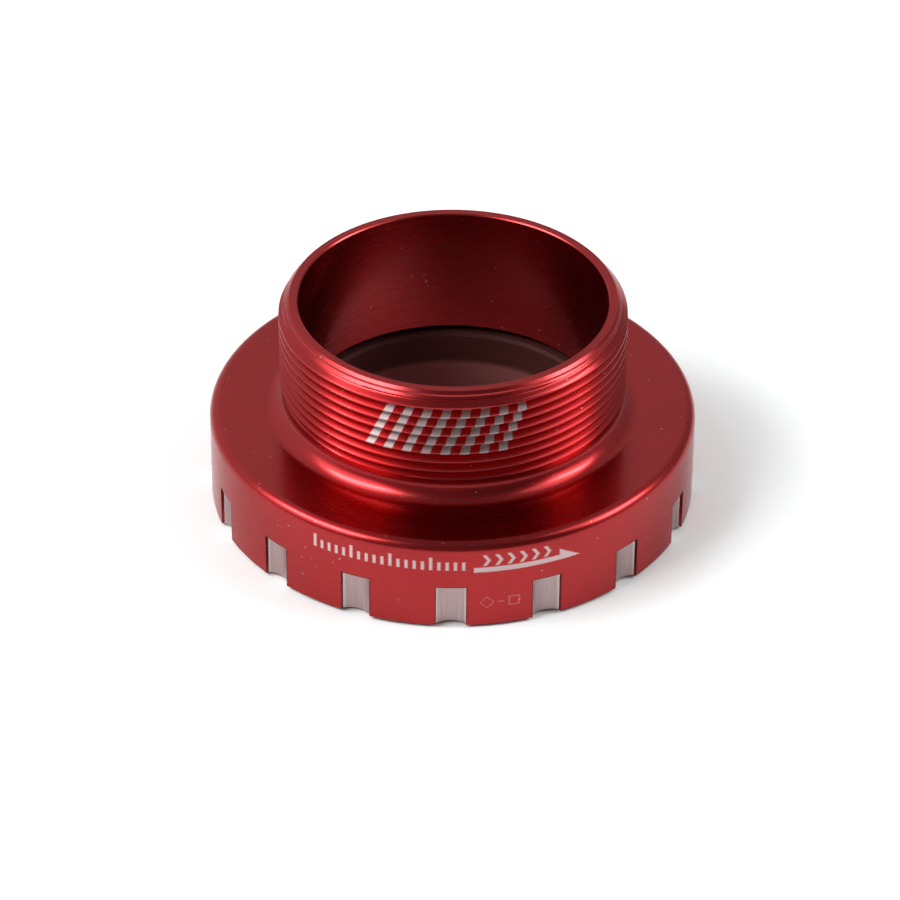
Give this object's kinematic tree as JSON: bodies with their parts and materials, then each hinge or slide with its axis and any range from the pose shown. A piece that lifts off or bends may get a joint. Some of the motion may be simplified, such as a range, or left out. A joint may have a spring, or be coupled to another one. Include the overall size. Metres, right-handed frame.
{
  "type": "bottom bracket cup",
  "caption": "Red anodised threaded cup for a bicycle's bottom bracket, non-drive side, with spanner notches and its ball bearing, seals and dust cover.",
  "frame": {"origin": "centre of the cup's outboard face, which is the face it stands on", "axes": "+Z along the axle's axis, from the outboard face up the threaded barrel, so towards the frame's shell; one spanner notch faces -Y"},
  "size_m": [0.0488, 0.0488, 0.0224],
  "materials": {
    "red_anodised_aluminium": "satin red anodised, polished on the barrel and the flange's edge",
    "blackened_bearing_steel": "ground and blackened",
    "polished_ball_steel": "polished",
    "cage_nylon": "moulded",
    "seal_rubber": "matt moulded",
    "plated_insert_steel": "plated sheet",
    "black_anodised_cover": "satin black anodised"
  },
  "bodies": {
    "cup": {"cup_body": "red_anodised_aluminium", "bearing_outer_ring": "blackened_bearing_steel", "seal_inboard_rubber": "seal_rubber", "seal_inboard_insert": "plated_insert_steel", "seal_outboard_rubber": "seal_rubber", "seal_outboard_insert": "plated_insert_steel"},
    "inner_ring": {"bearing_inner_ring": "blackened_bearing_steel", "dust_cover": "black_anodised_cover", "dust_cover_lip": "seal_rubber"},
    "cage": {"ball_cage": "cage_nylon", "ball_01": "polished_ball_steel", "ball_02": "polished_ball_steel", "ball_03": "polished_ball_steel", "ball_04": "polished_ball_steel", "ball_05": "polished_ball_steel", "ball_06": "polished_ball_steel", "ball_07": "polished_ball_steel", "ball_08": "polished_ball_steel", "ball_09": "polished_ball_steel", "ball_10": "polished_ball_steel", "ball_11": "polished_ball_steel", "ball_12": "polished_ball_steel", "ball_13": "polished_ball_steel", "ball_14": "polished_ball_steel", "ball_15": "polished_ball_steel", "ball_16": "polished_ball_steel", "ball_17": "polished_ball_steel", "ball_18": "polished_ball_steel", "ball_19": "polished_ball_steel", "ball_20": "polished_ball_steel"}
  },
  "joints": [
    {"name": "inner_ring_spin", "type": "hinge", "parent": "cup", "child": "inner_ring", "pos_m": [0, 0, 0.0045], "axis": [0, 0, 1], "continuous": true},
    {"name": "cage_spin", "type": "hinge", "parent": "cup", "child": "cage", "pos_m": [0, 0, 0.0045], "axis": [0, 0, 1], "continuous": true}
  ],
  "couplings": [
    {"joint": "cage_spin", "follows": "inner_ring_spin", "ratio": 0.4559}
  ]
}
